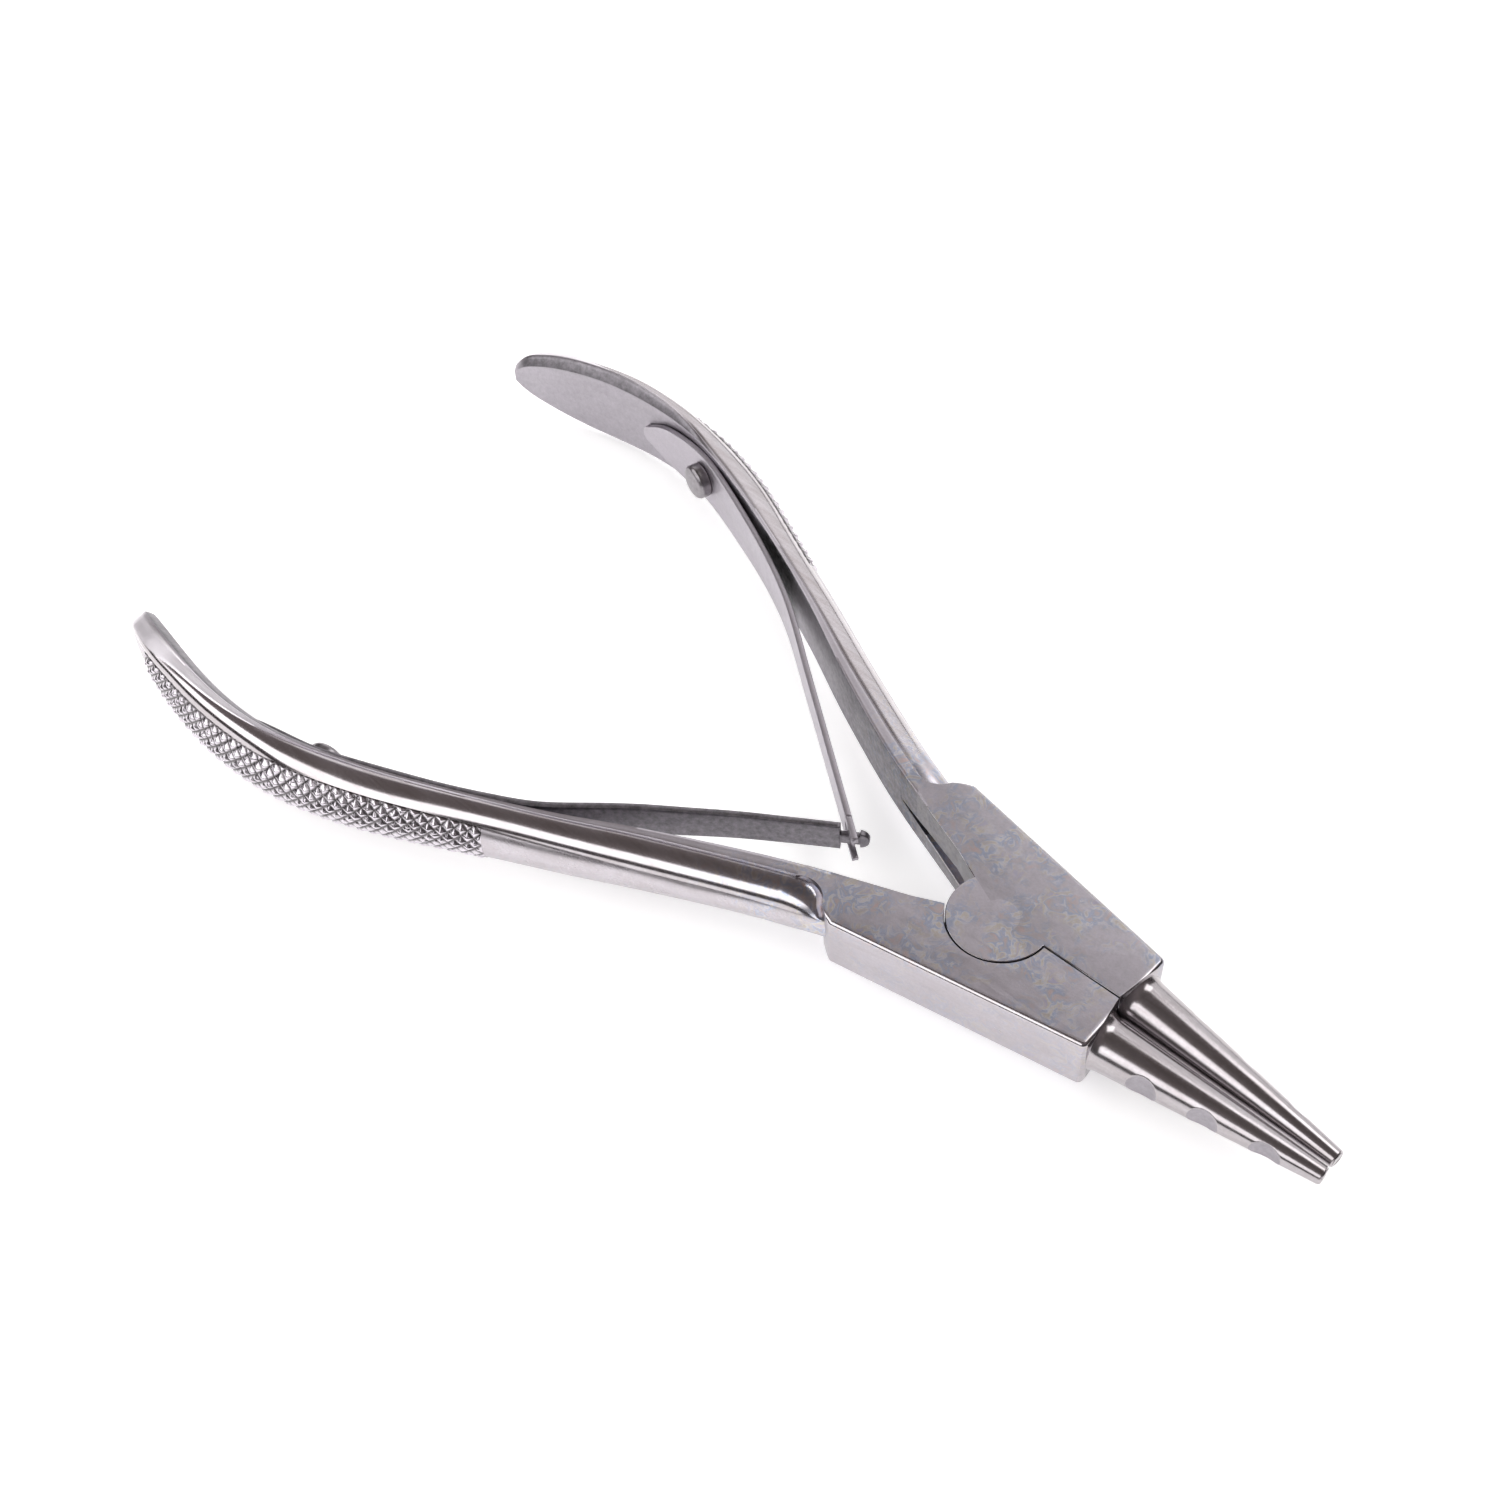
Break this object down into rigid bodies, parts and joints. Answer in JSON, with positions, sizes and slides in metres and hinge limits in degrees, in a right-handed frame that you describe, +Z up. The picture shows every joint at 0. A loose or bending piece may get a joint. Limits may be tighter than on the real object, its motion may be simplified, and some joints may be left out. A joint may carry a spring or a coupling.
{
  "type": "ring-opening pliers",
  "caption": "Reverse-action ring-opening pliers: squeezing the knurled handles spreads the round tapered notched jaws; interlocking leaf springs reopen the handles.",
  "frame": {"origin": "bottom centre of the tool's bounding box, lying flat", "axes": "+X from the handles to the jaw tips, +Y to the slotted arm, +Z up out of the joint's top face"},
  "size_m": [0.1392, 0.073, 0.0113],
  "materials": {
    "arm_steel": "satin joint and inner faces, polished handle bodies and jaws, heat tint on the joint",
    "pin_steel": "ground flush with the joint",
    "spring_steel": "fine satin",
    "rivet_steel": "polished"
  },
  "bodies": {
    "tongue_lever": {"tongue_arm": "arm_steel", "spring_root_b": "spring_steel", "spring_rivet_b": "rivet_steel"},
    "slotted_lever": {"slotted_arm": "arm_steel", "pivot_pin": "pin_steel", "spring_root_a": "spring_steel", "spring_rivet_a": "rivet_steel"},
    "blade_a": {"spring_blade_a": "spring_steel"},
    "blade_b": {"spring_blade_b": "spring_steel"}
  },
  "joints": [
    {"name": "main_pivot", "type": "hinge", "parent": "tongue_lever", "child": "slotted_lever", "pos_m": [0.032, 0, 0.00572], "axis": [0, 0, 1], "range_deg": [0, 24], "stiffness_Nm_per_rad": 2, "springref_deg": -6.88},
    {"name": "flex_a", "type": "hinge", "parent": "slotted_lever", "child": "blade_a", "pos_m": [-0.02, 0.023, 0.00572], "axis": [0, 0, 1], "range_deg": [0, 6.3]},
    {"name": "flex_b", "type": "hinge", "parent": "tongue_lever", "child": "blade_b", "pos_m": [-0.02, -0.023, 0.00572], "axis": [0, 0, 1], "range_deg": [-6.3, 0]}
  ],
  "couplings": [
    {"joint": "flex_a", "follows": "main_pivot", "ratio": 0.255},
    {"joint": "flex_b", "follows": "main_pivot", "ratio": -0.255}
  ]
}
